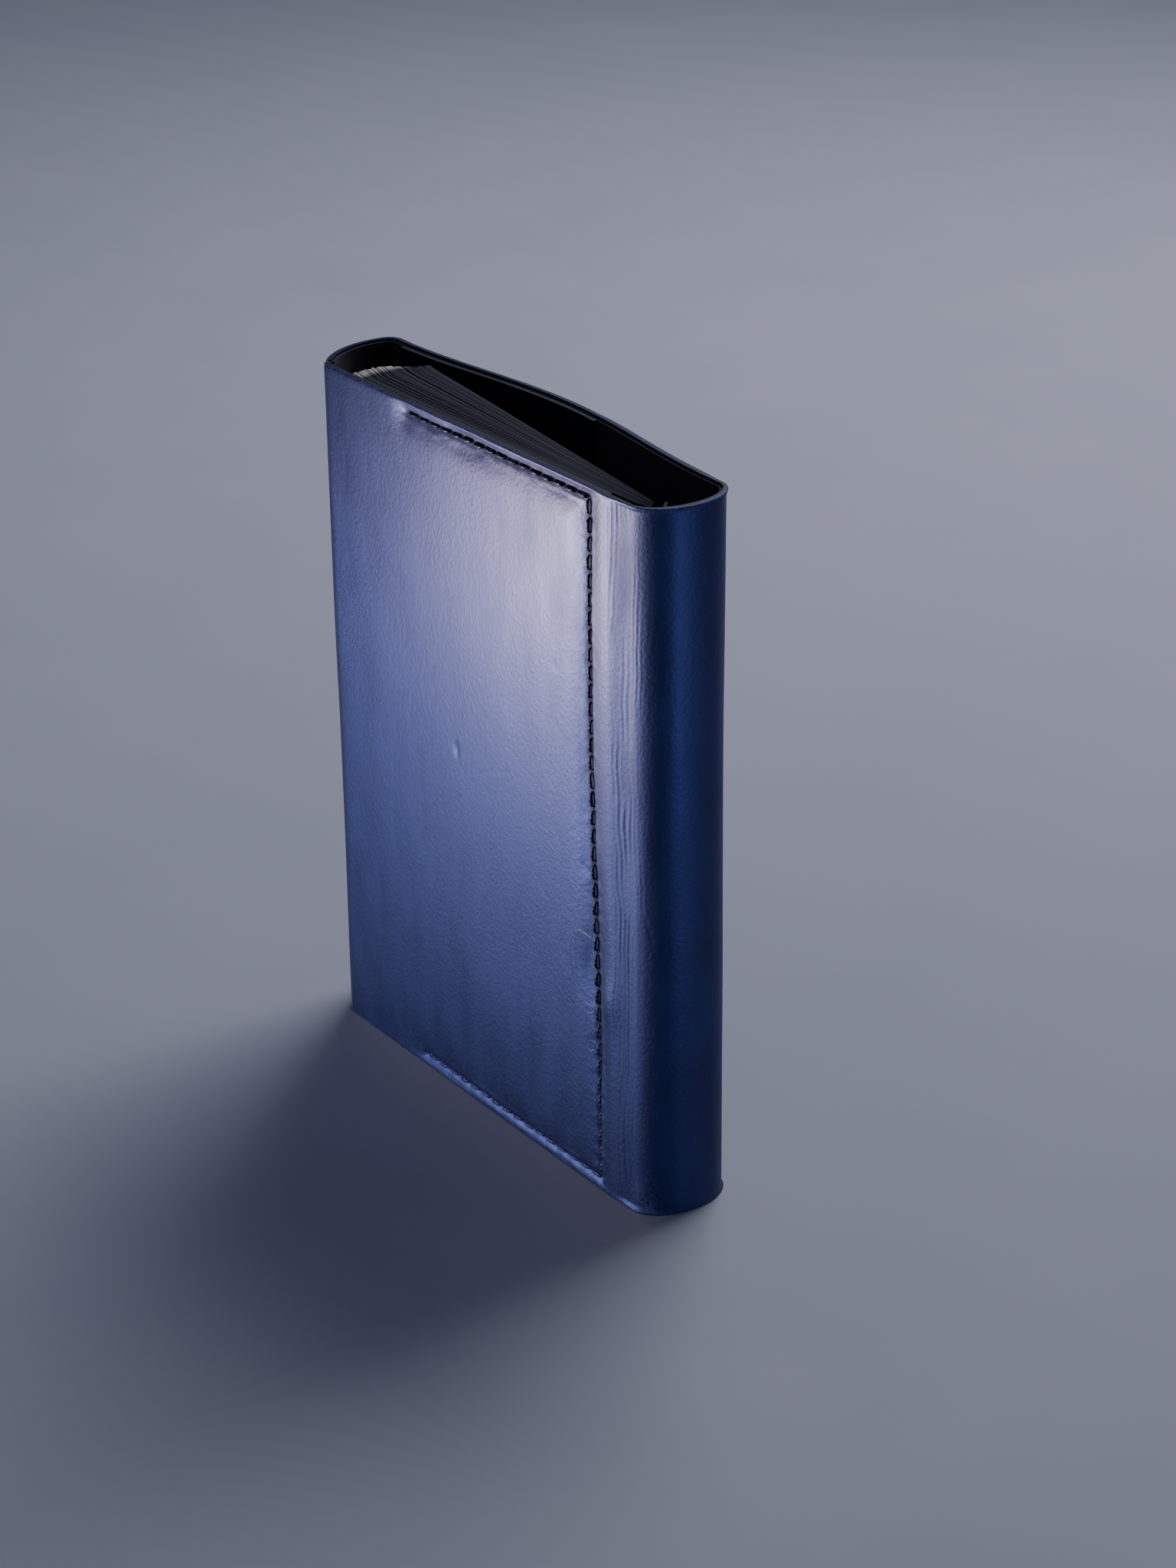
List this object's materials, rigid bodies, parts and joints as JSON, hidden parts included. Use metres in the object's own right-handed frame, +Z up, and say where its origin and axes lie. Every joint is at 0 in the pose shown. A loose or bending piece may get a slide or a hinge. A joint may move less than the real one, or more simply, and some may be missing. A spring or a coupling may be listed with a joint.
{
  "type": "long wallet",
  "caption": "Book-style leather wallet standing upright: wrapped cover with a rounded spine, closing fore-edge flap, sewn inner pockets and a fanned insert of leaves.",
  "frame": {"origin": "centre of the whole wallet's footprint, on the surface that it stands on", "axes": "+Z up along the spine, -Y out of the front cover, +X towards the spine, -X towards the fore-edge"},
  "size_m": [0.1134, 0.0254, 0.14],
  "materials": {
    "cover_leather": "smooth semi-gloss navy leather",
    "lining_leather": "matte dark maroon leather",
    "pocket_leather": "matte dark navy leather",
    "waxed_thread": "waxed thread",
    "binding_tape": "woven tape",
    "paper": "uncoated paper"
  },
  "bodies": {
    "spine": {"spine_cover": "cover_leather", "spine_lining": "lining_leather", "insert_binding": "binding_tape", "binding_thread": "waxed_thread"},
    "front_half": {"front_cover": "cover_leather", "front_lining": "lining_leather", "front_pocket": "pocket_leather", "front_seam_thread": "waxed_thread"},
    "back_half": {"back_cover": "cover_leather", "back_lining": "lining_leather", "back_pocket": "pocket_leather", "back_seam_thread": "waxed_thread"},
    "flap": {"closing_flap": "cover_leather", "flap_lining": "lining_leather"},
    "leaf_1": {"leaf_1": "paper"},
    "leaf_2": {"leaf_2": "paper"},
    "leaf_3": {"leaf_3": "paper"},
    "leaf_4": {"leaf_4": "paper"},
    "leaf_5": {"leaf_5": "paper"},
    "leaf_6": {"leaf_6": "paper"},
    "leaf_7": {"leaf_7": "paper"},
    "leaf_8": {"leaf_8": "paper"},
    "leaf_9": {"leaf_9": "paper"}
  },
  "joints": [
    {"name": "front_fold", "type": "hinge", "parent": "spine", "child": "front_half", "pos_m": [0.05495, -0.01095, 0.07], "axis": [0, 0, 1], "range_deg": [0, 90]},
    {"name": "back_fold", "type": "hinge", "parent": "spine", "child": "back_half", "pos_m": [0.05495, 0.00655, 0.07], "axis": [0, 0, -1], "range_deg": [0, 90]},
    {"name": "flap_fold", "type": "hinge", "parent": "back_half", "child": "flap", "pos_m": [-0.05544, 0.00773, 0.07], "axis": [0, 0, -1], "range_deg": [0, 100]},
    {"name": "leaf_1_turn", "type": "hinge", "parent": "spine", "child": "leaf_1", "pos_m": [0.0519, -0.0081, 0.07], "axis": [0, 0, 1], "range_deg": [0, 90.01]},
    {"name": "leaf_2_turn", "type": "hinge", "parent": "spine", "child": "leaf_2", "pos_m": [0.0516, -0.0078, 0.07], "axis": [0, 0, 1], "range_deg": [0, 81.01]},
    {"name": "leaf_3_turn", "type": "hinge", "parent": "spine", "child": "leaf_3", "pos_m": [0.0513, -0.0075, 0.07], "axis": [0, 0, 1], "range_deg": [0, 72.01]},
    {"name": "leaf_4_turn", "type": "hinge", "parent": "spine", "child": "leaf_4", "pos_m": [0.051, -0.0072, 0.07], "axis": [0, 0, 1], "range_deg": [0, 63.01]},
    {"name": "leaf_5_turn", "type": "hinge", "parent": "spine", "child": "leaf_5", "pos_m": [0.0507, -0.0069, 0.07], "axis": [0, 0, 1], "range_deg": [0, 54.01]},
    {"name": "leaf_6_turn", "type": "hinge", "parent": "spine", "child": "leaf_6", "pos_m": [0.0504, -0.0066, 0.07], "axis": [0, 0, 1], "range_deg": [0, 45.01]},
    {"name": "leaf_7_turn", "type": "hinge", "parent": "spine", "child": "leaf_7", "pos_m": [0.0501, -0.0063, 0.07], "axis": [0, 0, 1], "range_deg": [0, 36.01]},
    {"name": "leaf_8_turn", "type": "hinge", "parent": "spine", "child": "leaf_8", "pos_m": [0.0498, -0.006, 0.07], "axis": [0, 0, 1], "range_deg": [0, 27.01]},
    {"name": "leaf_9_turn", "type": "hinge", "parent": "spine", "child": "leaf_9", "pos_m": [0.0495, -0.0057, 0.07], "axis": [0, 0, 1], "range_deg": [0, 18.01]}
  ],
  "couplings": [
    {"joint": "leaf_1_turn", "follows": "front_fold", "ratio": 1},
    {"joint": "leaf_2_turn", "follows": "front_fold", "ratio": 0.9},
    {"joint": "leaf_3_turn", "follows": "front_fold", "ratio": 0.8},
    {"joint": "leaf_4_turn", "follows": "front_fold", "ratio": 0.7},
    {"joint": "leaf_5_turn", "follows": "front_fold", "ratio": 0.6},
    {"joint": "leaf_6_turn", "follows": "front_fold", "ratio": 0.5},
    {"joint": "leaf_7_turn", "follows": "front_fold", "ratio": 0.4},
    {"joint": "leaf_8_turn", "follows": "front_fold", "ratio": 0.3},
    {"joint": "leaf_9_turn", "follows": "front_fold", "ratio": 0.2}
  ]
}
